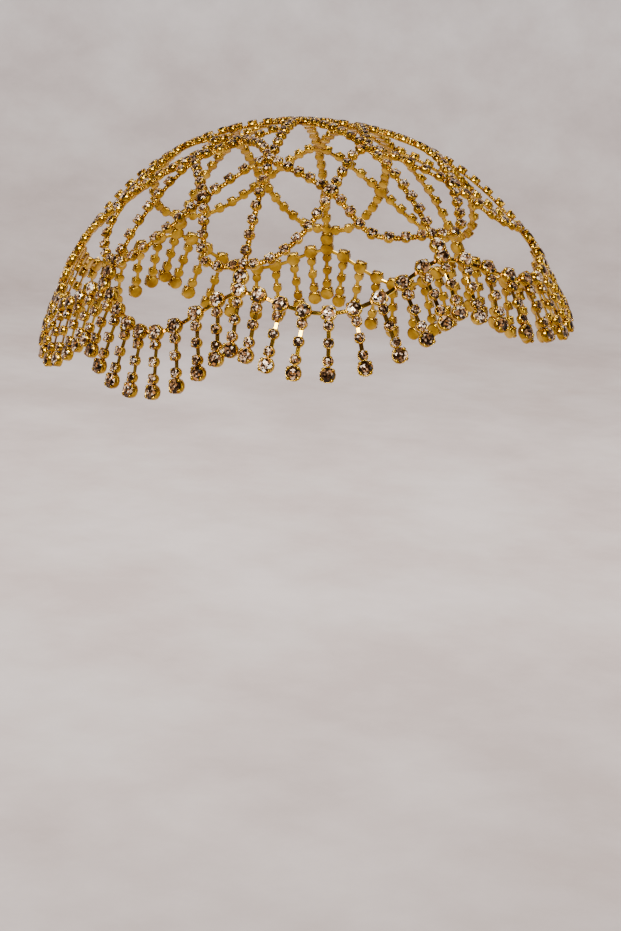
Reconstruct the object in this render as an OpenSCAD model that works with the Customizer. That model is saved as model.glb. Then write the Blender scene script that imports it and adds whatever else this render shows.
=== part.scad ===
// Bridal headpiece: an open cap of gold cup chain set with round cut stones.
// Eight spokes run down from the crown over a head-shaped dome. Eight overlapping
// petals of the same chain cross between the spokes, with a large stone at each
// crossing. Below them a scalloped rim of large set stones carries a fringe of short
// stone drops.
// Every place on the cap is given as [sector, run]: the sector counts spokes round
// the crown, and the run is the length over the dome from the crown, in millimetres.
// The origin is under the crown's plate, +Z is up and the wearer faces -Y.

/* [Dome] */
// Half of the dome's width from ear to ear, at its widest level
dome_side = 80; // [77:0.5:83]
// Half of the dome's length from front to back, at its widest level
dome_long = 98; // [95:0.5:101]
// Height of the dome over its widest level
dome_high = 108; // [104:0.5:112]
// Fullness of the dome's shoulders, where 2 is a plain ellipsoid
dome_full = 2.15; // [2.05:0.05:2.25]
// Distance of the crown behind the dome's middle
crown_back = 11; // [8:0.5:14]
// Direction of the first spoke, in degrees round from +X
first_spoke = -151.6; // [-160:0.1:-145]
// Depth of the hollow in the dome's left back shoulder
hollow_deep = 3; // [0:0.25:4]

/* [Lattice] */
// Diameter of the tubes that stand for the fine stone chain
chain_d = 3.2; // [3:0.05:3.3]
// Clearance between pieces that meet
clear = 0.15; // [0.12:0.01:0.2]
// Run at which each spoke leaves the crown's plate
crown_run = 4.8; // [4.7:0.1:5.2]
// Run at which the inner strands meet the spokes
inner_run = 20; // [19:0.5:22]
// Run at which the petals' arms meet the spokes
arm_run = 40.5; // [39.5:0.5:41.5]
// Run of the petals' feet, on their own spokes
petal_run = 82; // [81.8:0.1:82.1]

/* [Rim and drops] */
// Number of drops on each scallop of the rim
drops = 9; // [7:1:9]
// Run of the rim at the spokes
rim_run = 90.5; // [90.4:0.1:91]
// Run of the extra stone between a petal and the rim
link_stone_run = 86.4; // [86.35:0.05:86.5]
// Diameter of the large settings
large_d = 4.8; // [4.6:0.1:4.9]
// Height of the large settings
large_h = 2.5; // [2.2:0.1:2.8]
// Diameter of the small settings
small_d = 3.3; // [3:0.1:3.4]
// Height of the small settings
small_h = 2.1; // [1.9:0.1:2.3]
// Width of the flat links
link_w = 1.3; // [1:0.1:1.5]
// Thickness of the flat links
link_t = 0.5; // [0.4:0.05:0.6]
// How far the drops' ends lean towards the nearest spoke, in sectors
lean = 0.055; // [0:0.005:0.055]

/* [Stones] */
// Height of a cut stone over its setting, as a share of the setting's diameter
stone_rise = 0.17; // [0.12:0.01:0.2]
// Width of a cut stone's table, as a share of the stone's width
table_share = 0.55; // [0.45:0.05:0.65]
// Width of the metal edge that is left round a stone
edge_w = 0.3; // [0.25:0.05:0.35]

/* [Hidden] */
SPOKES = 8;
SECTOR = 360 / SPOKES;
NUMBERS = [for (k = [1:SPOKES]) k];

// Outlines of the petals' left and right arms, seen from outside, from a petal's foot
// to the next spoke: each arm swings out and sags near the foot, and swings out and
// hangs lower near its upper end
// columns: [foot swing in sectors, upper swing in sectors, foot sag, upper drop]
LEFT_ARMS = [
    [0.56, 0.00, 4, 18],
    [0.66, 0.06, 0, 24],
    [0.77, 0.32, 6, 24],
    [0.34, 0.66, 5, -1],
    [0.34, 0.66, 5, -1],
    [0.34, 0.66, 5, -1],
    [0.34, 0.66, 5, -1],
    [0.58, 0.42, 1, -1]];
RIGHT_ARMS = [
    [0.39, 0.53, 5, -1],
    [0.38, 0.00, 5, 30],
    [0.34, 0.66, 5, -1],
    [0.34, 0.66, 5, -1],
    [0.34, 0.66, 5, -1],
    [0.34, 0.66, 5, -1],
    [0.28, 0.76, 3, 0],
    [0.25, 0.60, 3, 2]];

// Scallops, one row for each sector
// columns: [depth of the scallop, lean of all its drops in sectors]
SCALLOPS = [
    [11.2, 0.015], [11.8, 0.03], [12, 0], [12, 0], [12, 0], [12, 0], [12.3, 0], [12.6, 0.03]];

// Inner strands: the spoke of the upper end and the spoke of the lower end,
// where 9 is spoke 1 again
// columns: [upper spoke, lower spoke]
STRANDS = [[8, 9], [8, 7], [7, 8], [7, 6], [3, 2], [3, 4], [4, 3], [4, 5]];

// Stones of one drop, down from the rim
// columns: [distance from the rim stone, 1 for a large stone or 0 for a small one]
DROP = [[0, 1], [3.7, 0], [8.9, 0], [14.1, 0], [18.1, 1]];

GOLD = [0.80, 0.60, 0.24];
STEPS = 40;
TUBE_SIDES = 8;
ROUND_SIDES = 32;

// Chain tubes: the rings' spacing, the height of the settings' backs under the middle
// line, and the stretch of a tube's end that counts as straight, as a share of its way
ring_pitch = 1.8 * chain_d;
base = -1.2;
stretch = 0.12;
butt_clear = 2.2 * clear;

// Rough lengths of the curved pieces, which set how many rings each one has
petal_foot_length = 76;
petal_arm_length = 24;
strand_length = 20;
strand_upper_length = 4;
strand_lower_length = 10;

// Height of the flat links over the settings' backs
link_lift = 0.3;
// Depth to which a stone is let into its setting
sink = 0.1;
plate_r = 2.9;
plate_t = 1;
// Spoke at the middle of the hollow, and the hollow's half width in sectors
hollow_spoke = 8;
hollow_reach = 0.9;
// Power of the sine that shapes each scallop
scallop_sharpness = 1.5;

// Dome

function share(x, y) = min(1, norm([x / dome_side, (y + crown_back) / dome_long]));
function height(x, y) = dome_high * pow(1 - pow(share(x, y), dome_full), 1 / dome_full);
crown_high = height(0, 0);

// Distance in plan from the crown to the dome's widest outline
function plan_edge(az) =
    let (c = cos(az) / dome_side, s = sin(az) / dome_long, o = crown_back / dome_long,
         a = c * c + s * s, b = 2 * s * o, e = o * o - 1)
    (-b + sqrt(b * b - 4 * a * e)) / (2 * a);

// Rows of [run over the dome, distance in plan] down one meridian
function meridian(az) = let (far = plan_edge(az)) [
    for (i = 0, t = 0, z = crown_high, run = 0, t2 = 0, z2 = 0; i <= STEPS;
         i = i + 1,
         t2 = far * sin(90 * i / STEPS),
         z2 = height(t2 * cos(az), t2 * sin(az)),
         run = run + norm([t2 - t, z2 - z]),
         t = t2, z = z2)
    [run, t]];

function azimuth(sector) = first_spoke + SECTOR * (sector - 1);

// Shortest way round from a sector to the hollow's spoke, in sectors
function off_hollow(sector) =
    let (d = abs(sector - hollow_spoke) % SPOKES) min(d, SPOKES - d);
function hollow(sector, run) =
    hollow_deep * pow(cos(90 * min(1, off_hollow(sector) / hollow_reach)), 2)
    * sin(180 * min(1, run / arm_run));

// Point on the chain's middle line
function spot(at) =
    let (az = azimuth(at[0]), t = lookup(at[1], meridian(az)), x = t * cos(az), y = t * sin(az))
    [x, y, height(x, y) - crown_high - base - hollow(at[0], at[1])];

// Outward direction of the dome at a point
function out(p) =
    let (x = p.x / dome_side, y = (p.y + crown_back) / dome_long,
         z = height(p.x, p.y) / dome_high,
         k = pow(max(norm([x, y]), 0.01), dome_full - 2),
         v = [k * x / dome_side, k * y / dome_long, pow(z, dome_full - 1) / dome_high])
    v / norm(v);

function sector_of(p) = (atan2(p.y, p.x) - first_spoke) / SECTOR + 1;

// Helpers

function bend(t, a, b, c, d) =
    a * pow(1 - t, 3) + 3 * b * t * pow(1 - t, 2) + 3 * c * t * t * (1 - t) + d * pow(t, 3);
// Value between low and high at which a falling function crosses zero
function seek(f, low, high, n = 16) =
    let (m = (low + high) / 2) n == 0 ? m : f(m) > 0 ? seek(f, m, high, n - 1) : seek(f, low, m, n - 1);
function wrap(k) = (k - 1 + SPOKES) % SPOKES;
// Length to leave along one tube where it butts against another that runs in a given direction
function butt(ahead, other) =
    let (c = abs(ahead * other) / (norm(ahead) * norm(other)))
    (chain_d / 2 * (1 + c) + butt_clear) / sqrt(1 - c * c);
// Share of the way along a line at a given length before or past another share
function off_share(place, share, length, way) =
    let (p = place(share))
    share + way * seek(function (v) length - norm(place(share + way * v) - p), 0, 0.3);
// Direction of the tube's straight stretch that leads away from a share of the way
function ahead(place, share, way) = place(share + way * stretch) - place(share);

// Moves children so that +Z points outward and +X points towards another point
module seat(p, towards) {
    up = out(p);
    flat = (towards - p) - up * ((towards - p) * up);
    x = flat / norm(flat);
    y = cross(up, x);
    multmatrix([[x.x, y.x, up.x, p.x], [x.y, y.y, up.y, p.y], [x.z, y.z, up.z, p.z], [0, 0, 0, 1]])
        children();
}

// Tube swept along points on the dome
module tube(points) {
    last = len(points) - 1;
    rings = [for (i = [0:last])
        let (up = out(points[i]),
             run = points[min(i + 1, last)] - points[max(i - 1, 0)],
             ahead = run / norm(run),
             across = cross(up, ahead) / norm(cross(up, ahead)),
             over = cross(ahead, across))
        for (j = [0:TUBE_SIDES - 1])
            let (turn = 360 * (j + 0.5) / TUBE_SIDES)
            points[i] + chain_d / 2 * (cos(turn) * across + sin(turn) * over)];
    walls = [for (i = [0:last - 1], j = [0:TUBE_SIDES - 1])
        let (n = (j + 1) % TUBE_SIDES, a = i * TUBE_SIDES, b = a + TUBE_SIDES)
        each [[a + j, b + j, b + n], [a + j, b + n, a + n]]];
    first_end = [for (j = [0:TUBE_SIDES - 1]) j];
    last_end = [for (j = [TUBE_SIDES - 1:-1:0]) last * TUBE_SIDES + j];
    color(GOLD) polyhedron(points = rings, faces = concat(walls, [first_end, last_end]));
}

// Tube along a rule that gives a place for each share of the way
module run_tube(place, from, to, length) {
    n = max(1, round(length / ring_pitch));
    tube([for (i = [0:n]) place(from + (to - from) * i / n)]);
}

// Setting with its cut stone: table, eight crown facets and a straight edge
module set_stone(d, h) {
    cylinder(d = d, h = h, $fn = ROUND_SIDES);
    girdle = d - 2 * edge_w;
    top = girdle * table_share;
    rise = d * stone_rise;
    translate([0, 0, h - sink]) intersection() {
        facet_pair(0, girdle, top, rise);
        facet_pair(45, girdle, top, rise);
        facet_pair(90, girdle, top, rise);
        facet_pair(135, girdle, top, rise);
    }
}

// Bar with two sloping sides, of which four crossed ones leave an octagonal stone
module facet_pair(turn, girdle, top, rise)
    rotate([0, 0, turn]) rotate([90, 0, 0])
        linear_extrude(height = 2 * girdle, center = true)
            polygon([[-girdle / 2, 0], [girdle / 2, 0], [top / 2, rise + sink], [-top / 2, rise + sink]]);

module large_stone() translate([0, 0, base]) set_stone(large_d, large_h);
module small_stone() translate([0, 0, base]) set_stone(small_d, small_h);

// Flat link between two points, shortened by a gap at each end
module flat_link(a, b, gap) {
    length = norm(b - a) - 2 * gap;
    seat(a, b) translate([gap, -link_w / 2, base + link_lift]) cube([length, link_w, link_t]);
}

// Crown

module crown_joint() color(GOLD) {
    cylinder(r = plate_r, h = plate_t, $fn = ROUND_SIDES);
    for (k = NUMBERS) rotate([0, 0, azimuth(k)])
        translate([0, -link_w / 2, 0]) cube([crown_run - 2 * clear, link_w, link_t]);
}

// Spokes

spoke_end = petal_run - chain_d / 2 - clear;
module spoke(k) run_tube(function (u) spot([k, u]), crown_run, spoke_end, spoke_end - crown_run);

// Petals: each arm runs from the foot, on the petal's spoke, to the next spoke

function arm_row(k, side) = (side < 0 ? LEFT_ARMS : RIGHT_ARMS)[wrap(k)];
function arm_off(k, side, t) = let (a = arm_row(k, side)) bend(t, 0, a[0], a[1], 1);
function arm_level(k, side, t) =
    let (a = arm_row(k, side)) bend(t, petal_run, petal_run + a[2], arm_run + a[3], arm_run);
function arm_place(k, side) =
    function (t) spot([k + side * arm_off(k, side, t), arm_level(k, side, t)]);

// Share of an arm's way at which it reaches a run
function arm_share(k, side, run) =
    seek(function (t) arm_level(k, side, t) - run, 0.1, 1);
// Share of an arm's way at which it crosses the next petal's arm
function crossing(k, side) =
    seek(function (t) 1 - arm_off(k, side, t)
        - arm_off(k + side, -side, arm_share(k + side, -side, arm_level(k, side, t))), 0.1, 0.95);

function spoke_ahead(k, run) = spot([k, run + 1]) - spot([k, run - 1]);
function arm_end(k, side) =
    let (place = arm_place(k, side))
    off_share(place, 1, butt(ahead(place, 1, -1), spoke_ahead(k + side, arm_run)), -1);
// Share of the way at which an arm's chain stops short of the crossing's stone
function arm_cut(k, side, way) =
    let (t = crossing(k, side), place = arm_place(k, side),
         u = crossing(k + side, -side), other = arm_place(k + side, -side),
         room = max(butt(ahead(place, t, way), ahead(other, u, way)), large_d / 2 + 2 * clear))
    off_share(place, t, room, way);

// A petal has three lengths of chain, parted by the stones at its two crossings.
// The stone at the right crossing is its own.
module petal(k) {
    run_tube(function (u) arm_place(k, sign(u))(abs(u)), -arm_cut(k, -1, -1), arm_cut(k, 1, -1),
        petal_foot_length);
    for (side = [-1, 1])
        run_tube(arm_place(k, side), arm_cut(k, side, 1), arm_end(k, side), petal_arm_length);
    t = crossing(k, 1);
    color(GOLD) seat(arm_place(k, 1)(t), arm_place(k, 1)(t - stretch)) large_stone();
}

// Inner strands: straight in plan, from an upper spoke to a lower end on the next one

function strand_top(s) = spot([s[0], inner_run]);
function strand_foot(s) = spot([s[1], arm_run]);
function strand_ahead(s) = strand_foot(s) - strand_top(s);
function strand_spot(s, u) =
    let (p = strand_top(s) + strand_ahead(s) * u)
    [p.x, p.y, height(p.x, p.y) - crown_high - base
        - hollow(s[0] + (s[1] - s[0]) * u, inner_run + (arm_run - inner_run) * u)];
// Share of the way at which a strand crosses the one that mirrors it
function strand_cross(s) =
    let (r = [s[1], s[0]], d = strand_ahead(s), e = strand_ahead(r), g = strand_top(r) - strand_top(s))
    (g.x * e.y - g.y * e.x) / (d.x * e.y - d.y * e.x);
function is_crossed(s) = len([for (t = STRANDS) if (t[0] == s[1] && t[1] == s[0]) t]) > 0;

function strand_cut(s, way) =
    let (place = function (u) strand_spot(s, u), other = function (u) strand_spot([s[1], s[0]], u),
         u = strand_cross(s), v = strand_cross([s[1], s[0]]))
    off_share(place, u, butt(ahead(place, u, way), ahead(other, v, way)), way);

module inner_strand(i) {
    s = STRANDS[i - 1];
    place = function (u) strand_spot(s, u);
    top = off_share(place, 0, butt(ahead(place, 0, 1), spoke_ahead(s[0], inner_run)), 1);
    foot = off_share(place, 1, butt(ahead(place, 1, -1), spoke_ahead(s[1], arm_run)) - clear, -1);
    if (is_crossed(s) && s[0] > s[1]) {
        run_tube(place, top, strand_cut(s, -1), strand_upper_length);
        run_tube(place, strand_cut(s, 1), foot, strand_lower_length);
    }
    else run_tube(place, top, foot, strand_length);
}

// Rim and drops

function rim_at(k, j) =
    [k + j / drops,
     rim_run + SCALLOPS[wrap(k)][0] * pow(sin(180 * j / drops), scallop_sharpness)];

module rim(k) color(GOLD)
    for (j = [0:drops - 1])
        flat_link(spot(rim_at(k, j)), spot(rim_at(k, j + 1)), large_d / 2 + 2 * clear);

function drop_at(k, j, down) =
    rim_at(k, j) + [(SCALLOPS[wrap(k)][1] * sin(180 * j / drops) - lean * sin(360 * j / drops))
        * down / DROP[4][0], down];

module drop(points, sizes) {
    for (i = [0:len(points) - 1])
        seat(points[i], points[i == 0 ? 1 : i - 1])
            if (sizes[i] == 1) large_stone(); else small_stone();
    for (i = [1:len(points) - 1]) flat_link(points[i - 1], points[i], 0);
}

module drop_row(k) color(GOLD)
    for (j = [0:drops - 1]) {
        hung = [for (s = DROP) spot(drop_at(k, j, s[0]))];
        sizes = [for (s = DROP) s[1]];
        if (j == 0) drop(concat([spot([k, link_stone_run])], hung), concat([1], sizes));
        else drop(hung, sizes);
    }

crown_joint();
for (k = NUMBERS) {
    spoke(k);
    petal(k);
    inner_strand(k);
    rim(k);
    drop_row(k);
}
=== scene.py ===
import math

import bmesh
import bpy
import numpy as np
from mathutils import Matrix, Vector


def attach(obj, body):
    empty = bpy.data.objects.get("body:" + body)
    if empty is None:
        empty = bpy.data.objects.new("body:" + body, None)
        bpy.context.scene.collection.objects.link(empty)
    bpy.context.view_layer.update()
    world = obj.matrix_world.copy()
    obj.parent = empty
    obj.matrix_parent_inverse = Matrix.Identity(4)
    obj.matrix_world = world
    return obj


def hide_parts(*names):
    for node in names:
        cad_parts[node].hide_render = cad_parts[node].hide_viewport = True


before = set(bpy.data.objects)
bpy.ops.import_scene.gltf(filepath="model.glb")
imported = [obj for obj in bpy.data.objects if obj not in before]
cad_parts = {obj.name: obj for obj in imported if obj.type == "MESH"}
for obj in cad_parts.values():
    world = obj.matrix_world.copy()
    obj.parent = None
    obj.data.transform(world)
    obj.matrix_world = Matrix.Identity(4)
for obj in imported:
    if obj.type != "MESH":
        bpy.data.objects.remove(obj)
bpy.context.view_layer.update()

MM = 0.001

# The cap's dome, in millimetres, with the crown at the origin
DOME_SIDE = 80
DOME_LONG = 98
DOME_HIGH = 108
DOME_FULL = 2.15
CROWN_BACK = 11
FIRST_SPOKE = -151.6
HOLLOW_DEEP = 3
HOLLOW_SPOKE = 8
HOLLOW_REACH = 0.9

# The lattice of chains: runs over the dome from the crown, in millimetres
SPOKES = 8
CROWN_RUN = 4.8
INNER_RUN = 20
ARM_RUN = 40.5
SPOKE_FOOT_RUN = 77.6
PETAL_RUN = 82
LINK_STONE_RUN = 86.4
RIM_RUN = 90.5
DROPS = 9
LEAN = 0.055
SCALLOP_SHARPNESS = 1.5

# Diameters and heights of the settings, in millimetres
SMALL_D = 3.3
SMALL_H = 2.1
LARGE_D = 4.8
LARGE_H = 2.5

# Links between settings: width, thickness and height over the settings' backs
LINK = (1.3, 0.5, 0.3)
BEAD = (2.1, 0.6, 0.08)
# How far a link reaches under its settings, both ends together
LINK_HOLD = 1.2
# Level of the settings' backs against the chains' middle line
BACK = -1.2

# Spacing of the stones along a chain, and the lengths left free at its ends
PITCH = 5.1
UPPER_PITCH = 4.8
FOOT_OFF = 3.4
SPOKE_OFF = 3.4
LARGE_OFF = 4.6

# Stones get painted shade where they face upwards, darker as they turn up: the rise of their
# direction from which they darken, and the further rise that darkens them as much as a drop's end
# stone
SHADE_FROM = 0.6
SHADE_RANGE = 0.13

# The petals' left and right arms, from a petal's foot to the next spoke: each arm swings
# out and sags near the foot, and swings out and hangs lower near its upper end
# columns: foot swing in sectors, upper swing in sectors, foot sag, upper drop
HIDDEN_ARM = (0.34, 0.66, 5, -1)
LEFT_ARMS = [
    (0.56, 0.00, 4, 18), (0.66, 0.06, 0, 24), (0.77, 0.32, 6, 24), HIDDEN_ARM,
    HIDDEN_ARM, HIDDEN_ARM, HIDDEN_ARM, (0.58, 0.42, 1, -1)]
RIGHT_ARMS = [
    (0.39, 0.53, 5, -1), (0.38, 0.00, 5, 30), HIDDEN_ARM, HIDDEN_ARM,
    HIDDEN_ARM, HIDDEN_ARM, (0.28, 0.76, 3, 0), (0.25, 0.60, 3, 2)]

# Each scallop of the rim: its depth in millimetres and the lean of its drops in sectors
SCALLOPS = [
    (11.2, 0.015), (11.8, 0.03), (12, 0), (12, 0), (12, 0), (12, 0), (12.3, 0), (12.6, 0.03)]

# Each inner strand: the spoke of its upper end and the spoke of its lower end
STRANDS = [(8, 9), (8, 7), (7, 8), (7, 6), (3, 2), (3, 4), (4, 3), (4, 5)]

# The stones of a drop: distance down from the rim stone in millimetres, and large or small
DROP = [(0, True), (3.7, False), (8.9, False), (14.1, False), (18.1, True)]


# The dome

def height(x, y):
    """Height of the dome over its lower edge, at a place in plan"""
    share = min(1.0, math.hypot(x / DOME_SIDE, (y + CROWN_BACK) / DOME_LONG))
    return DOME_HIGH * (1 - share ** DOME_FULL) ** (1 / DOME_FULL)


CROWN_HIGH = height(0, 0)


def plan_edge(turn):
    """Distance in plan from the crown to the dome's widest outline, in one direction"""
    c = math.cos(turn) / DOME_SIDE
    s = math.sin(turn) / DOME_LONG
    o = CROWN_BACK / DOME_LONG
    a = c * c + s * s
    b = 2 * s * o
    return (-b + math.sqrt(b * b - 4 * a * (o * o - 1))) / (2 * a)


MERIDIAN_STEPS = 80
meridians = {}


def meridian(sector):
    """Runs over the dome and distances in plan, down the meridian of a sector"""
    key = round(sector, 5)
    if key not in meridians:
        turn = math.radians(FIRST_SPOKE + 360 / SPOKES * (sector - 1))
        far = plan_edge(turn)
        plan = far * np.sin(np.linspace(0, math.pi / 2, MERIDIAN_STEPS + 1))
        level = np.array([height(t * math.cos(turn), t * math.sin(turn)) for t in plan])
        steps = np.hypot(np.diff(plan), np.diff(level))
        meridians[key] = (np.concatenate([[0], np.cumsum(steps)]), plan, turn)
    return meridians[key]


def hollow(sector, run):
    """Depth of the shallow hollow at the left back shoulder"""
    off = abs(sector - HOLLOW_SPOKE) % SPOKES
    off = min(off, SPOKES - off)
    across = math.cos(math.pi / 2 * min(1, off / HOLLOW_REACH)) ** 2
    return HOLLOW_DEEP * across * math.sin(math.pi * min(1, run / ARM_RUN))


def spot(sector, run):
    """Point of the chains' middle surface at a sector and a run over the dome"""
    runs, plan, turn = meridian(sector)
    t = float(np.interp(run, runs, plan))
    x, y = t * math.cos(turn), t * math.sin(turn)
    return Vector((x, y, height(x, y) - CROWN_HIGH - BACK - hollow(sector, run)))


def out(p):
    """Direction outwards from the dome at a point"""
    x, y = p.x / DOME_SIDE, (p.y + CROWN_BACK) / DOME_LONG
    z = height(p.x, p.y) / DOME_HIGH
    k = max(math.hypot(x, y), 0.01) ** (DOME_FULL - 2)
    slope = Vector((k * x / DOME_SIDE, k * y / DOME_LONG, z ** (DOME_FULL - 1) / DOME_HIGH))
    return slope.normalized()


# Ways over the dome

def bend(t, a, b, c, d):
    """Smooth change from a to d, drawn towards b and c on its way"""
    return a * (1 - t) ** 3 + 3 * b * t * (1 - t) ** 2 + 3 * c * t * t * (1 - t) + d * t ** 3


def wrap(k):
    """Row of a spoke's number in the tables, which go round the crown"""
    return (k - 1) % SPOKES


def arm_row(k, side):
    """Row of one arm of a petal: side is -1 for its left arm and 1 for its right arm"""
    return (LEFT_ARMS if side < 0 else RIGHT_ARMS)[wrap(k)]


def arm_off(k, side, t):
    """Sectors between an arm and its petal's spoke, at a share of the arm"""
    row = arm_row(k, side)
    return bend(t, 0, row[0], row[1], 1)


def arm_level(k, side, t):
    """Run over the dome that an arm has reached, at a share of the arm"""
    row = arm_row(k, side)
    return bend(t, PETAL_RUN, PETAL_RUN + row[2], ARM_RUN + row[3], ARM_RUN)


def arm(k, side, t):
    return spot(k + side * arm_off(k, side, t), arm_level(k, side, t))


SEEK_STEPS = 18
# Shares of an arm past the sag at its foot, and close to its upper end
PAST_SAG = 0.1
NEAR_END = 0.95


def seek(falling, low, high):
    """Value between low and high at which a falling function crosses zero"""
    for _ in range(SEEK_STEPS):
        middle = (low + high) / 2
        if falling(middle) > 0:
            low = middle
        else:
            high = middle
    return low


def arm_share(k, side, run):
    """Share of an arm at which it reaches a run"""
    return seek(lambda t: arm_level(k, side, t) - run, PAST_SAG, 1)


def crossing(k, side):
    """Share of an arm at which it crosses the next petal's arm"""
    other = k + side
    return seek(lambda t: 1 - arm_off(k, side, t)
                - arm_off(other, -side, arm_share(other, -side, arm_level(k, side, t))),
                PAST_SAG, NEAR_END)


def strand_ends(s):
    return spot(s[0], INNER_RUN), spot(s[1], ARM_RUN)


def strand(s, u):
    """Point of a strand, laid straight in plan between its ends, at a share of its length"""
    top, foot = strand_ends(s)
    p = top.lerp(foot, u)
    dip = hollow(s[0] + (s[1] - s[0]) * u, INNER_RUN + (ARM_RUN - INNER_RUN) * u)
    return Vector((p.x, p.y, height(p.x, p.y) - CROWN_HIGH - BACK - dip))


def strand_cross(s):
    """Share of a strand at which it crosses the one that mirrors it"""
    top, foot = strand_ends(s)
    other_top, other_foot = strand_ends((s[1], s[0]))
    d, e, g = foot - top, other_foot - other_top, other_top - top
    return (g.x * e.y - g.y * e.x) / (d.x * e.y - d.y * e.x)


class Way:
    """A way over the dome, with points at any length along it"""
    SAMPLES = 120

    def __init__(self, place):
        self.points = [place(i / self.SAMPLES) for i in range(self.SAMPLES + 1)]
        steps = [(b - a).length for a, b in zip(self.points, self.points[1:])]
        self.lengths = np.concatenate([[0], np.cumsum(steps)])
        self.length = float(self.lengths[-1])

    def at(self, length):
        columns = np.array(self.points).T
        return Vector([float(np.interp(length, self.lengths, c)) for c in columns])

    def length_at(self, share):
        return float(np.interp(share * self.SAMPLES, range(self.SAMPLES + 1), self.lengths))

    def evenly(self, start, end, pitch):
        count = max(1, round((end - start) / pitch))
        return [self.at(start + (end - start) * i / count) for i in range(count + 1)]


class Lattice:
    """Settings and the links between them: the vertices and edges of a mesh"""

    def __init__(self):
        self.places, self.large, self.deep, self.edges = [], [], [], []
        self.bare = set()

    def stone(self, p, large=False, deep=0.0):
        self.places.append(p)
        self.large.append(large)
        self.deep.append(deep)
        return len(self.places) - 1

    def anchor(self, p):
        """A place where a link ends on another piece's setting, without a stone"""
        index = self.stone(p)
        self.bare.add(index)
        return index

    def chain(self, indices):
        self.edges += list(zip(indices, indices[1:]))

    def mesh(self, name):
        mesh = bpy.data.meshes.new(name)
        ups = [out(p) for p in self.places]
        backs = [p + up * BACK for p, up in zip(self.places, ups)]
        mesh.from_pydata([p * MM for p in backs], self.edges, [])
        ahead = [Vector() for _ in self.places]
        for a, b in self.edges:
            step = (self.places[b] - self.places[a]).normalized()
            for i in (a, b):
                ahead[i] += step if ahead[i].dot(step) >= 0 else -step
        spans = [Vector((LARGE_D, LARGE_D, LARGE_H) if big else (SMALL_D, SMALL_D, SMALL_H)) * MM
                 for big in self.large]
        for field, rows in (("up", ups), ("ahead", ahead), ("span", spans)):
            mesh.attributes.new(field, "FLOAT_VECTOR", "POINT").data.foreach_set(
                "vector", np.array(rows, np.float32).ravel())
        # Darkening given down the drops, raised by painted shade on stones that face upwards
        deep = [max(d, (up.z - SHADE_FROM) / SHADE_RANGE) for d, up in zip(self.deep, ups)]
        bare = [i in self.bare for i in range(len(ups))]
        for field, values in (("deep", deep), ("bare", bare)):
            mesh.attributes.new(field, "FLOAT", "POINT").data.foreach_set(
                "value", np.array(values, np.float32))
        return mesh


# The lattices of the object's own pieces

NUMBERS = range(1, SPOKES + 1)


def spokes():
    lattice = Lattice()
    for k in NUMBERS:
        way = Way(lambda u: spot(k, u * RIM_RUN))
        upper = way.evenly(CROWN_RUN, ARM_RUN, PITCH)
        lower = way.evenly(ARM_RUN, SPOKE_FOOT_RUN, PITCH)[1:]
        indices = [lattice.stone(p) for p in upper + lower]
        lattice.chain(indices + [lattice.anchor(spot(k, PETAL_RUN))])
    return lattice


def petals():
    lattice = Lattice()
    centres = {}
    for k in NUMBERS:
        feet = []
        for side in (-1, 1):
            way = Way(lambda t: arm(k, side, t))
            centre = way.length_at(crossing(k, side))
            lower = way.evenly(FOOT_OFF, centre - LARGE_OFF, PITCH)
            upper = way.evenly(centre + LARGE_OFF, way.length - SPOKE_OFF, UPPER_PITCH)
            low = [lattice.stone(p) for p in lower]
            high = [lattice.stone(p) for p in upper]
            pair = frozenset((wrap(k), wrap(k + side)))
            if pair not in centres:
                centres[pair] = lattice.stone(way.at(centre), True)
            end = lattice.anchor(spot(k + side, ARM_RUN))
            lattice.chain(low + [centres[pair]] + high + [end])
            feet.append(low[0])
        middle = lattice.stone(spot(k, PETAL_RUN))
        lattice.chain([feet[0], middle, feet[1]])
        lattice.chain([middle, lattice.anchor(spot(k, LINK_STONE_RUN))])
    return lattice


def strands():
    lattice = Lattice()
    centres = {}
    for s in STRANDS:
        way = Way(lambda u: strand(s, u))
        first, last = SPOKE_OFF, way.length - SPOKE_OFF
        pair = frozenset(s)
        if (s[1], s[0]) in STRANDS:
            centre = way.length_at(strand_cross(s))
            if pair not in centres:
                centres[pair] = lattice.stone(way.at(centre))
            upper = way.evenly(first, centre, UPPER_PITCH)[:-1]
            lower = way.evenly(centre, last, UPPER_PITCH)[1:]
            indices = [lattice.stone(p) for p in upper]
            indices += [centres[pair]] + [lattice.stone(p) for p in lower]
        else:
            indices = [lattice.stone(p) for p in way.evenly(first, last, UPPER_PITCH)]
        ends = strand_ends(s)
        lattice.chain([lattice.anchor(ends[0])] + indices + [lattice.anchor(ends[1])])
    return lattice


def rim_place(k, j):
    """Sector and run of a scallop's rim stone"""
    depth = SCALLOPS[wrap(k)][0]
    return k + j / DROPS, RIM_RUN + depth * math.sin(math.pi * j / DROPS) ** SCALLOP_SHARPNESS


def rim():
    lattice = Lattice()
    indices = [lattice.anchor(spot(*rim_place(k, j))) for k in NUMBERS for j in range(DROPS)]
    for i in indices:
        lattice.large[i] = True
    lattice.chain(indices + indices[:1])
    return lattice


def drops():
    lattice = Lattice()
    length = DROP[-1][0]
    for k in NUMBERS:
        lean_all = SCALLOPS[wrap(k)][1]
        for j in range(DROPS):
            turn = math.pi * j / DROPS
            shift = (lean_all * math.sin(turn) - LEAN * math.sin(2 * turn)) / length
            sector, run = rim_place(k, j)
            hung = [lattice.stone(spot(sector + shift * down, run + down), large, down / length)
                    for down, large in DROP]
            if j == 0:
                hung.insert(0, lattice.stone(spot(k, LINK_STONE_RUN), True, 1.0))
            lattice.chain(hung)
    return lattice


# Shapes of one setting, one stone and one link, each of unit width

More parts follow.
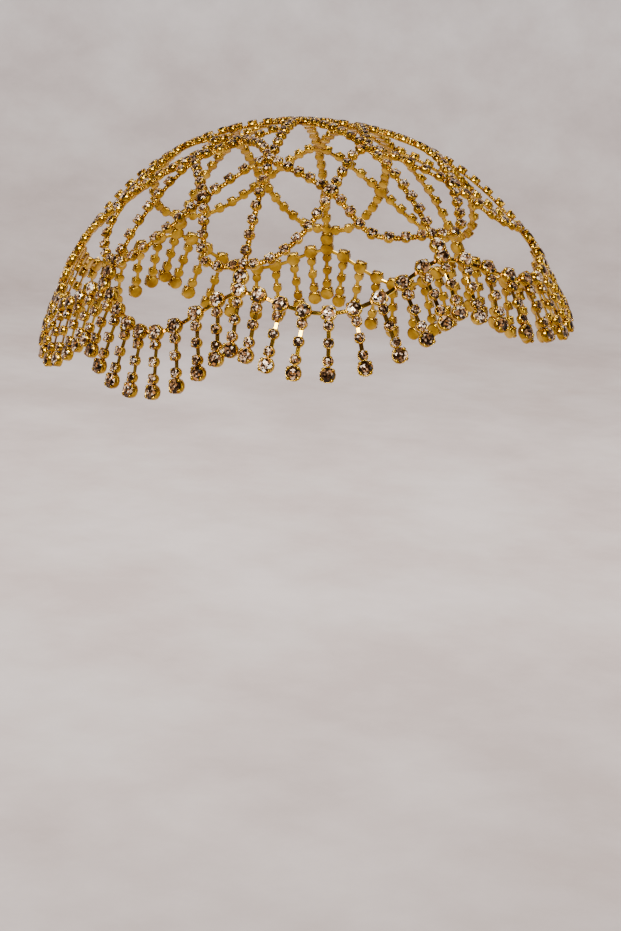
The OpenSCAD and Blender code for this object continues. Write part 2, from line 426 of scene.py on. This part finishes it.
def ring(shape, radius, levels, sides, turn=0.0):
    """Corners round the shape's middle, at one level or at a level for each angle"""
    points = []
    for i in range(sides):
        angle = 2 * math.pi * (i + turn) / sides
        level = levels(angle) if callable(levels) else levels
        points.append(shape.verts.new((radius * math.cos(angle), radius * math.sin(angle), level)))
    return points


def band(shape, low, high):
    """Faces between two rings with as many corners"""
    faces = []
    for i in range(len(low)):
        n = (i + 1) % len(low)
        faces.append(shape.faces.new((low[i], low[n], high[n], high[i])))
    return faces


CUP_SIDES = 12
PRONGS = 4

# Level of a cup's edge at the prongs and between them
EDGE_HIGH = 0.96
EDGE_LOW = 0.86


def edge_level(angle):
    return EDGE_HIGH - (EDGE_HIGH - EDGE_LOW) * math.cos(PRONGS / 2 * angle) ** 2


# Rings of a cup, from its back up the wall, over the edge and down to the stone's bed
# columns: radius, level
CUP = [
    (0.36, 0.0), (0.47, 0.04), (0.50, 0.14), (0.50, edge_level), (0.455, edge_level), (0.44, 0.60)]

# Sections of a prong, from its root to its tip over the stone
# columns: distance from the middle, level, half width, half thickness
CLAW = [
    (0.50, 0.66, 0.09, 0.04), (0.505, 0.94, 0.10, 0.05),
    (0.44, 1.05, 0.09, 0.05), (0.35, 1.04, 0.06, 0.04)]

# Angle between faces, in degrees, over which an edge of a setting stays crisp
CRISP = 65


def claw(shape, angle):
    """A prong that rises from the cup's wall and folds over the stone's edge"""
    rings = []
    for i, (radius, level, half, thick) in enumerate(CLAW):
        lean = math.pi / 2 * i / (len(CLAW) - 1)
        corners = [(-half, -thick), (half, -thick), (half, thick), (-half, thick)]
        points = []
        for across, outward in corners:
            r = radius + outward * math.cos(lean)
            points.append(shape.verts.new((
                r * math.cos(angle) - across * math.sin(angle),
                r * math.sin(angle) + across * math.cos(angle),
                level + outward * math.sin(lean))))
        rings.append(points)
    for a, b in zip(rings, rings[1:]):
        band(shape, a, b)
    shape.faces.new(rings[0][::-1])
    shape.faces.new(rings[-1])


def setting(shape):
    """A cup with a rounded back and an edge that dips between four prongs"""
    rings = [ring(shape, radius, level, CUP_SIDES, 0.5) for radius, level in CUP]
    shape.faces.new(rings[0][::-1])
    for a, b in zip(rings, rings[1:]):
        band(shape, a, b)
    shape.faces.new(rings[-1])
    for i in range(PRONGS):
        claw(shape, 2 * math.pi * (i + 0.5) / PRONGS)
    for face in shape.faces:
        face.smooth = True
    for e in shape.edges:
        if len(e.link_faces) == 2 and e.calc_face_angle() > math.radians(CRISP):
            e.smooth = False


STONE_SIDES = 8

# Level of a stone's highest point, then the radius and level of each ring of its corners
STONE_TOP = 1.18
STONE_INNER = (0.13, 1.155)
STONE_TABLE = (0.25, 1.13)
STONE_SHOULDER = (0.36, 1.04)
STONE_GIRDLE = (0.45, 0.88)
STONE_FOOT = (0.43, 0.70)


def stone(shape):
    """A round cut stone: a table of small facets, star facets, kites and a girdle"""
    sides = STONE_SIDES
    top = shape.verts.new((0, 0, STONE_TOP))
    inner = ring(shape, *STONE_INNER, sides, 0.5)
    table = ring(shape, *STONE_TABLE, sides)
    shoulder = ring(shape, *STONE_SHOULDER, sides, 0.5)
    girdle = ring(shape, *STONE_GIRDLE, 2 * sides)
    foot = ring(shape, *STONE_FOOT, 2 * sides)
    for i in range(sides):
        shape.faces.new((inner[i], inner[(i + 1) % sides], top))
    for i in range(sides):
        n = (i + 1) % sides
        shape.faces.new((table[i], inner[i], inner[i - 1]))
        shape.faces.new((table[i], table[n], inner[i]))
        shape.faces.new((table[i], shoulder[i], table[n]))
        shape.faces.new((table[i], shoulder[i - 1], girdle[2 * i], shoulder[i]))
        shape.faces.new((shoulder[i], girdle[2 * i], girdle[2 * i + 1]))
        shape.faces.new((shoulder[i], girdle[2 * i + 1], girdle[(2 * i + 2) % (2 * sides)]))
    band(shape, girdle, foot)
    shape.faces.new(foot)


# Corners of a flat link's section
# columns: across, level
PLATE = [
    (-0.5, 0.3), (-0.36, 0.0), (0.36, 0.0), (0.5, 0.3),
    (0.5, 0.75), (0.38, 1.0), (-0.38, 1.0), (-0.5, 0.75)]


def bar(shape, profile):
    """A straight bar of unit length along X, closed at both ends"""
    ends = [[shape.verts.new((x, y, z)) for y, z in profile] for x in (-0.5, 0.5)]
    band(shape, *ends)
    for end in ends:
        shape.faces.new(end)


def plate(shape):
    """A flat bar with bevelled edges"""
    bar(shape, PLATE)


# Corners of the section of the bar that carries the beads
# columns: across, level
CARRIER = [(-0.3, 0.1), (0.3, 0.1), (0.3, 0.7), (-0.3, 0.7)]

# Places of the two beads along their bar, and the sections of one bead
# columns: distance from the bead's middle, size
BEAD_PLACES = (-0.155, 0.155)
BEAD_SECTIONS = [(-0.15, 0.60), (-0.11, 0.94), (0.0, 1.0), (0.11, 0.94), (0.15, 0.60)]
BEAD_SIDES = 8
# Half width of a bead, level of its middle and half height
BEAD_HALF = 0.5
BEAD_LEVEL = 0.8
BEAD_RISE = 0.95


def beads(shape):
    """A narrow bar that carries two pillow-shaped beads side by side"""
    bar(shape, CARRIER)
    angles = [2 * math.pi * (i + 0.5) / BEAD_SIDES for i in range(BEAD_SIDES)]
    for middle in BEAD_PLACES:
        sections = [
            [shape.verts.new((
                middle + along,
                BEAD_HALF * size * math.cos(angle),
                BEAD_LEVEL + BEAD_RISE * size * math.sin(angle))) for angle in angles]
            for along, size in BEAD_SECTIONS]
        for a, b in zip(sections, sections[1:]):
            for face in band(shape, a, b):
                face.smooth = True
        shape.faces.new(sections[0])
        shape.faces.new(sections[-1])


def as_object(make):
    """An object of one shape, whose attribute says whether it is a polished flat link"""
    shape = bmesh.new()
    make(shape)
    bmesh.ops.recalc_face_normals(shape, faces=shape.faces)
    name = make.__name__ + "_shape"
    mesh = bpy.data.meshes.new(name)
    shape.to_mesh(mesh)
    shape.free()
    mesh.attributes.new("polish", "FLOAT", "POINT").data.foreach_set(
        "value", [float(make is plate)] * len(mesh.vertices))
    return bpy.data.objects.new(name, mesh)


# Node trees

class Wire:
    """An output socket; arithmetic on it adds Math nodes to its tree"""

    def __init__(self, nodes, socket):
        self.nodes, self.socket = nodes, socket

    def other(self, name):
        return Wire(self.nodes, self.socket.node.outputs[name])

    def _math(self, operation, a, b):
        return self.nodes.put("ShaderNodeMath", {"operation": operation}, {0: a, 1: b})

    def __add__(self, value): return self._math("ADD", self, value)
    def __radd__(self, value): return self._math("ADD", value, self)
    def __sub__(self, value): return self._math("SUBTRACT", self, value)
    def __rsub__(self, value): return self._math("SUBTRACT", value, self)
    def __mul__(self, value): return self._math("MULTIPLY", self, value)
    def __rmul__(self, value): return self._math("MULTIPLY", value, self)


class Nodes:
    """Adds nodes to a tree"""

    def __init__(self, tree):
        self.tree = tree

    def put(self, kind, settings=None, values=None, output=0):
        """Adds a node with its settings, then its sockets' values or links; returns one output"""
        node = self.tree.nodes.new(kind)
        for name, value in (settings or {}).items():
            if name == "stops":
                self.fill_ramp(node.color_ramp, value)
            else:
                setattr(node, name, value)
        for name, value in (values or {}).items():
            socket = self.find(node.inputs, name)
            if isinstance(value, Wire):
                self.tree.links.new(value.socket, socket)
            else:
                socket.default_value = value
        return Wire(self, self.find(node.outputs, output)) if node.outputs else None

    @staticmethod
    def find(sockets, name):
        if isinstance(name, int):
            return sockets[name]
        return next((s for s in sockets if s.identifier == name), None) or sockets[name]

    @staticmethod
    def fill_ramp(ramp, stops):
        while len(ramp.elements) < len(stops):
            ramp.elements.new(0.5)
        for element, (position, color) in zip(ramp.elements, stops):
            element.position = position
            element.color = (*color, 1.0)


def geometry_tree(name, inputs):
    """A new geometry tree with a mesh in, a mesh out and named inputs"""
    tree = bpy.data.node_groups.new(name, "GeometryNodeTree")
    tree.interface.new_socket("Lattice", in_out="INPUT", socket_type="NodeSocketGeometry")
    for label, kind in inputs.items():
        tree.interface.new_socket(label, in_out="INPUT", socket_type=kind)
    tree.interface.new_socket("Mesh", in_out="OUTPUT", socket_type="NodeSocketGeometry")
    nodes = Nodes(tree)
    return nodes, nodes.put("NodeGroupInput")


def named(nodes, name, kind="FLOAT_VECTOR"):
    """A value that is kept on the lattice under a name"""
    return nodes.put(
        "GeometryNodeInputNamedAttribute", {"data_type": kind}, {"Name": name}, "Attribute")


def drawn_number(nodes, given):
    """A random number between 0 and 1 for each element"""
    return nodes.put("FunctionNodeRandomValue", {"data_type": "FLOAT"},
                     {"Seed": given.other("Seed")}, "Value_001")


def seat(nodes, given, way, sway):
    """Rotation with Z outwards from the dome and X along a way, a little turned at random"""
    level = nodes.put("FunctionNodeAxesToRotation", {"primary_axis": "Z", "secondary_axis": "X"},
                      {"Primary Axis": named(nodes, "up"), "Secondary Axis": way})
    drawn = nodes.put("FunctionNodeRandomValue", {"data_type": "FLOAT_VECTOR"},
                      {"Min": (-1, -1, -1), "Max": (1, 1, 1), "Seed": given.other("Seed")}, "Value")
    tilt = nodes.put(
        "ShaderNodeVectorMath", {"operation": "MULTIPLY"}, {0: drawn, 1: given.other(sway)})
    return nodes.put("FunctionNodeRotateRotation", {"rotation_space": "LOCAL"},
                     {"Rotation": level, "Rotate By": tilt})


def set_stones(nodes, given, shape):
    """Sets one shape on each vertex that isn't bare"""
    stones = nodes.put("FunctionNodeCompare", {"data_type": "FLOAT", "operation": "LESS_THAN"},
                       {"A": named(nodes, "bare", "FLOAT"), "B": 0.5})
    return nodes.put("GeometryNodeInstanceOnPoints", {}, {
        "Points": given.other("Lattice"), "Selection": stones, "Instance": shape,
        "Rotation": seat(nodes, given, named(nodes, "ahead"), "Sway"),
        "Scale": named(nodes, "span")})


def shape_of(nodes, given, label):
    return nodes.put("GeometryNodeObjectInfo", {}, {"Object": given.other(label)}, "Geometry")


def finish_tree(nodes, geometry, given):
    painted = nodes.put(
        "GeometryNodeSetMaterial", {}, {"Geometry": geometry, "Material": given.other("Material")})
    nodes.put("NodeGroupOutput", {}, {"Mesh": painted})


def metal_tree():
    """Settings on the vertices of a lattice and links along its edges"""
    nodes, given = geometry_tree("metalwork", {
        "Setting": "NodeSocketObject", "Link": "NodeSocketObject", "Material": "NodeSocketMaterial",
        "Link width": "NodeSocketFloat", "Link thickness": "NodeSocketFloat",
        "Link lift": "NodeSocketFloat", "Link hold": "NodeSocketFloat",
        "Sway": "NodeSocketVector", "Link sway": "NodeSocketVector", "Seed": "NodeSocketInt"})
    cups = set_stones(nodes, given, shape_of(nodes, given, "Setting"))
    ends = nodes.put("GeometryNodeInputMeshEdgeVertices", {}, {}, "Position 1")
    step = nodes.put(
        "ShaderNodeVectorMath", {"operation": "SUBTRACT"}, {0: ends.other("Position 2"), 1: ends})
    stored = nodes.put(
        "GeometryNodeStoreNamedAttribute", {"data_type": "FLOAT_VECTOR", "domain": "EDGE"},
        {"Geometry": given.other("Lattice"), "Name": "step", "Value": step})
    middles = nodes.put("GeometryNodeMeshToPoints", {"mode": "EDGES"}, {"Mesh": stored})
    up, way = named(nodes, "up"), named(nodes, "step")
    width = nodes.put("ShaderNodeSeparateXYZ", {}, {"Vector": named(nodes, "span")})
    length = nodes.put("ShaderNodeVectorMath", {"operation": "LENGTH"}, {0: way}, "Value")
    free = nodes.put("ShaderNodeMath", {"operation": "MAXIMUM"}, {
        0: length - width + given.other("Link hold"), 1: given.other("Link thickness")})
    size = nodes.put("ShaderNodeCombineXYZ", {}, {
        "X": free, "Y": given.other("Link width"), "Z": given.other("Link thickness")})
    lifted = nodes.put(
        "ShaderNodeVectorMath", {"operation": "SCALE"}, {0: up, "Scale": given.other("Link lift")})
    raised = nodes.put("GeometryNodeSetPosition", {}, {"Geometry": middles, "Offset": lifted})
    bars = nodes.put("GeometryNodeInstanceOnPoints", {}, {
        "Points": raised, "Instance": shape_of(nodes, given, "Link"),
        "Rotation": seat(nodes, given, way, "Link sway"), "Scale": size})
    joined = nodes.put("GeometryNodeJoinGeometry")
    for part in (cups, bars):
        nodes.tree.links.new(part.socket, joined.socket.node.inputs[0])
    finish_tree(nodes, nodes.put("GeometryNodeRealizeInstances", {}, {"Geometry": joined}), given)
    return nodes.tree


def stone_tree():
    """Stones on the vertices of a lattice, with a number for each stone and one for each facet,
    which paints its reflection
    """
    nodes, given = geometry_tree("stonework", {
        "Stone": "NodeSocketObject", "Material": "NodeSocketMaterial",
        "Sway": "NodeSocketVector", "Seed": "NodeSocketInt"})
    toned = nodes.put(
        "GeometryNodeStoreNamedAttribute", {"data_type": "FLOAT", "domain": "POINT"},
        {"Geometry": given.other("Lattice"), "Name": "tone", "Value": drawn_number(nodes, given)})
    stones = set_stones(nodes, given, shape_of(nodes, given, "Stone"))
    nodes.tree.links.new(toned.socket, stones.socket.node.inputs["Points"])
    real = nodes.put("GeometryNodeRealizeInstances", {}, {"Geometry": stones})
    # Each facet's random number paints a reflection into its colour, from dark brown to white
    faceted = nodes.put(
        "GeometryNodeStoreNamedAttribute", {"data_type": "FLOAT", "domain": "FACE"},
        {"Geometry": real, "Name": "spark", "Value": drawn_number(nodes, given)})
    finish_tree(nodes, faceted, given)
    return nodes.tree


# Materials

def new_material(name):
    material = bpy.data.materials.new(name)
    material.use_nodes = True
    material.node_tree.nodes.clear()
    return material, Nodes(material.node_tree)


def finish_material(nodes, shader):
    nodes.put("ShaderNodeOutputMaterial", {}, {"Surface": shader})


def own_value(nodes, name):
    """A value that a piece's mesh keeps under a name"""
    return nodes.put("ShaderNodeAttribute", {"attribute_name": name}, {}, "Fac")


def gold_plate():
    """Yellow gold plate, redder and duller in patches, and polished on the flat links"""
    material, nodes = new_material("gold_plate")
    place = nodes.put("ShaderNodeTexCoord", {}, {}, "Object")
    patches = nodes.put("ShaderNodeTexNoise", {}, {"Vector": place, "Scale": 260.0, "Detail": 3.0})
    grain = nodes.put("ShaderNodeTexNoise", {}, {"Vector": place, "Scale": 2600.0, "Detail": 2.0})
    tint = nodes.put("ShaderNodeValToRGB", {"stops": [
        (0.30, (0.31, 0.15, 0.007)), (0.50, (0.52, 0.30, 0.017)), (0.72, (0.75, 0.48, 0.06))]},
        {"Fac": patches})
    least, by_patches, by_grain, by_polish = 0.09, 0.14, 0.05, 0.12
    rough = (least + patches * by_patches + grain * by_grain
             - own_value(nodes, "polish") * by_polish)
    bump = nodes.put(
        "ShaderNodeBump", {}, {"Strength": 0.12, "Distance": 0.04 * MM, "Height": grain})
    shader = nodes.put("ShaderNodeBsdfPrincipled", {}, {
        "Base Color": tint, "Roughness": rough, "Metallic": 1.0, "Normal": bump})
    finish_material(nodes, shader)
    return material


def champagne_stone():
    """Foiled champagne glass whose facets carry painted reflections, white, peach, amber and dark
    brown, and a painted glow
    """
    material, nodes = new_material("champagne_stone")
    by_tone, by_darkening_and_painted_shade, all_over = 0.22, 0.05, 0.035
    # Facet colour: the painted reflection, less the stone's random tone and the darkening and
    # painted shade
    light = (own_value(nodes, "spark") - own_value(nodes, "tone") * by_tone
             - own_value(nodes, "deep") * by_darkening_and_painted_shade - all_over)
    tint = nodes.put("ShaderNodeValToRGB", {"stops": [
        (0.0, (0.003, 0.001, 0.0)), (0.24, (0.014, 0.005, 0.001)), (0.42, (0.055, 0.024, 0.009)),
        (0.56, (0.16, 0.085, 0.04)), (0.64, (0.36, 0.14, 0.03)), (0.70, (0.40, 0.26, 0.16)),
        (0.82, (0.78, 0.59, 0.43)), (0.90, (1.0, 0.95, 0.87))]}, {"Fac": light})
    # Emission paints a glow into the stones, in each facet's colour
    shader = nodes.put("ShaderNodeBsdfPrincipled", {}, {
        "Base Color": tint, "Roughness": 0.1, "Metallic": 0.15, "IOR": 1.5,
        "Specular Tint": (1.0, 0.84, 0.70, 1), "Emission Color": tint, "Emission Strength": 0.5})
    finish_material(nodes, shader)
    return material


# Pieces

def grow(name, lattice_mesh, tree, values):
    """The mesh that a tree makes on a lattice, as a plain object"""
    base = bpy.data.objects.new(name + "_base", lattice_mesh)
    bpy.context.scene.collection.objects.link(base)
    modifier = base.modifiers.new("grow", "NODES")
    modifier.node_group = tree
    for item in tree.interface.items_tree:
        if item.in_out == "INPUT" and item.name in values:
            modifier[item.identifier] = values[item.name]
    evaluated = base.evaluated_get(bpy.context.evaluated_depsgraph_get())
    mesh = bpy.data.meshes.new_from_object(evaluated)
    mesh.name = name
    base.modifiers.remove(modifier)
    bpy.data.objects.remove(base)
    piece = bpy.data.objects.new(name, mesh)
    bpy.context.scene.collection.objects.link(piece)
    return piece


# Largest random turns of the settings with their stones, and of the links, in radians
SWAY = (0.05, 0.05, 0.16)
LINK_SWAY = (0.07, 0.04, 0.02)
FIRST_SEED = 11

# Each family of pieces: its lattice, the nodes it stands for, its links and their sizes
FAMILIES = {
    "spokes": (spokes, "spoke", beads, BEAD),
    "petals": (petals, "petal", beads, BEAD),
    "strands": (strands, "inner_strand", beads, BEAD),
    "rim": (rim, "rim", plate, LINK),
    "drops": (drops, "drops", plate, LINK),
}

gold = gold_plate()
champagne = champagne_stone()
templates = {make: as_object(make) for make in (setting, stone, plate, beads)}
metalwork = metal_tree()
stonework = stone_tree()

for seed, (family, row) in enumerate(FAMILIES.items(), FIRST_SEED):
    lay, node, links, (width, thick, lift) = row
    lattice_mesh = lay().mesh(family)
    metal = grow(family + "_metal", lattice_mesh, metalwork, {
        "Setting": templates[setting], "Link": templates[links], "Material": gold,
        "Link width": width * MM, "Link thickness": thick * MM, "Link lift": lift * MM,
        "Link hold": LINK_HOLD * MM, "Sway": SWAY, "Link sway": LINK_SWAY, "Seed": seed})
    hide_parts(*[f"{node}_{k}" for k in NUMBERS])
    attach(metal, "root")
    if family != "rim":
        stones = grow(family + "_stones", lattice_mesh, stonework, {
            "Stone": templates[stone], "Material": champagne, "Sway": SWAY, "Seed": seed})
        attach(stones, "root")

crown_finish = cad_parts["crown_joint"].data.materials
crown_finish.clear()
crown_finish.append(gold)

for template in templates.values():
    bpy.data.objects.remove(template)


# Floor and backdrop

# Floor's level, and the wall's distance and height over the floor, in metres
FLOOR = -0.34
WALL_FAR = 2.2
WALL_HIGH = 2.4
# Radius of the curve between floor and wall
COVE = 0.7
COVE_STEPS = 12
WALL_SIDES = 96


def pale_ground():
    """Matt plaster with soft pale patches, rosier on the floor and cooler up the wall"""
    material, nodes = new_material("pale_ground")
    place = nodes.put("ShaderNodeTexCoord", {}, {}, "Object")
    cloud = nodes.put("ShaderNodeTexNoise", {}, {
        "Vector": place, "Scale": 8.0, "Detail": 9.0, "Roughness": 0.65})
    level = nodes.put("ShaderNodeSeparateXYZ", {}, {"Vector": place}, "Z")
    floor = nodes.put("ShaderNodeValToRGB", {"stops": [
        (0.36, (0.43, 0.357, 0.341)), (0.64, (0.53, 0.468, 0.455))]}, {"Fac": cloud})
    wall = nodes.put("ShaderNodeValToRGB", {"stops": [
        (0.36, (0.50, 0.460, 0.468)), (0.64, (0.63, 0.597, 0.606))]}, {"Fac": cloud})
    change_per_metre = 2.6
    tint = nodes.put("ShaderNodeMix", {"data_type": "RGBA"}, {
        "Factor_Float": (level - FLOOR) * change_per_metre, "A_Color": floor, "B_Color": wall},
        "Result_Color")
    shader = nodes.put("ShaderNodeBsdfPrincipled", {}, {"Base Color": tint, "Roughness": 0.9})
    finish_material(nodes, shader)
    return material


def backdrop():
    """A pale round floor that sweeps up into a wall all round"""
    profile = []
    for i in range(COVE_STEPS + 1):
        angle = math.pi / 2 * i / COVE_STEPS
        profile.append((
            WALL_FAR - COVE + COVE * math.sin(angle), FLOOR + COVE - COVE * math.cos(angle)))
    profile.append((WALL_FAR, FLOOR + WALL_HIGH))
    shape = bmesh.new()
    rings = [ring(shape, radius, level, WALL_SIDES) for radius, level in profile]
    for low, high in zip(rings, rings[1:]):
        band(shape, low, high)
    shape.faces.new(rings[0])
    bmesh.ops.reverse_faces(shape, faces=shape.faces[:-1])
    for face in shape.faces:
        face.smooth = True
    mesh = bpy.data.meshes.new("backdrop")
    shape.to_mesh(mesh)
    shape.free()
    mesh.materials.append(pale_ground())
    wall = bpy.data.objects.new("backdrop", mesh)
    bpy.context.scene.collection.objects.link(wall)


backdrop()


# Camera

# Direction of the view round the cap, down on it and round its own line, in degrees
CAMERA_TURN = -38.71
CAMERA_LIFT = 14.29
CAMERA_ROLL = -3.86
# Distance, and offset to the right and up, from the dome's middle, in millimetres
CAMERA_FAR = 700
OFF_CENTRE = (4.44, 109.44)
# Focal length and height of the image in pixels, and the sensor's height in millimetres
FOCAL_PIXELS = 2193.92
IMAGE_HIGH = 931
SENSOR = 36


def place_camera():
    """Places the camera and returns its directions to the right and ahead"""
    turn, lift, roll = (math.radians(a) for a in (CAMERA_TURN, CAMERA_LIFT, CAMERA_ROLL))
    level = Vector((-math.sin(turn), -math.cos(turn), 0))
    ahead_level = Vector((math.cos(turn), -math.sin(turn), 0))
    view = ahead_level * math.cos(lift) - Vector((0, 0, 1)) * math.sin(lift)
    above = ahead_level * math.sin(lift) + Vector((0, 0, 1)) * math.cos(lift)
    right = level * math.cos(roll) - above * math.sin(roll)
    up = level * math.sin(roll) + above * math.cos(roll)
    pivot = Vector((0, -CROWN_BACK, DOME_HIGH - CROWN_HIGH - BACK))
    place = pivot - right * OFF_CENTRE[0] - up * OFF_CENTRE[1] - view * CAMERA_FAR
    data = bpy.data.cameras.new("camera")
    data.sensor_width = SENSOR
    data.lens = FOCAL_PIXELS / IMAGE_HIGH * SENSOR
    data.clip_start = 0.01
    camera = bpy.data.objects.new("camera", data)
    axes = Matrix((right, up, -view)).transposed()
    camera.matrix_world = Matrix.Translation(place * MM) @ axes.to_4x4()
    bpy.context.scene.collection.objects.link(camera)
    bpy.context.scene.camera = camera
    return right, view


right, ahead = place_camera()


# Lights

CAP_MIDDLE = Vector((0, 0, -0.03))
LAMP_COLOR = (1, 0.97, 0.93)
AIR_COLOR = (1.0, 0.78, 0.62, 1)
AIR_STRENGTH = 0.055


def from_cap(offset):
    """A place right, up and towards the camera from the cap's middle, in metres"""
    return CAP_MIDDLE + right * offset[0] + Vector((0, 0, 1)) * offset[1] - ahead * offset[2]


def softbox(name, offset, size, power, target=(0, 0, 0)):
    """An area light aimed at a target; both places are given from the cap's middle"""
    place, middle = from_cap(offset), from_cap(target)
    data = bpy.data.lights.new(name, "AREA")
    data.shape = "RECTANGLE"
    data.size, data.size_y = size
    data.energy = power
    data.color = LAMP_COLOR
    lamp = bpy.data.objects.new(name, data)
    lamp.location = place
    lamp.rotation_euler = (middle - place).to_track_quat("-Z", "Y").to_euler()
    bpy.context.scene.collection.objects.link(lamp)


# columns: name, place, size in metres, power in watts
softbox("key", (-0.42, 0.52, 0.99), (0.78, 0.2), 26)
softbox("fill", (1.0, 0.0, 0.6), (0.6, 1.1), 3.5)
softbox("top", (-0.25, 1.1, 0.45), (0.35, 0.35), 4)
softbox("back", (0.1, 1.1, -0.3), (0.5, 0.3), 2.5)
softbox("wash", (0.0, 0.9, -0.5), (1.2, 0.5), 32, target=(0.0, 0.0, -2.1))

world = bpy.data.worlds.new("studio")
world.use_nodes = True
world.node_tree.nodes.clear()
air = Nodes(world.node_tree)
air.put("ShaderNodeOutputWorld", {}, {"Surface": air.put("ShaderNodeBackground", {}, {
    "Color": AIR_COLOR, "Strength": AIR_STRENGTH})})
bpy.context.scene.world = world
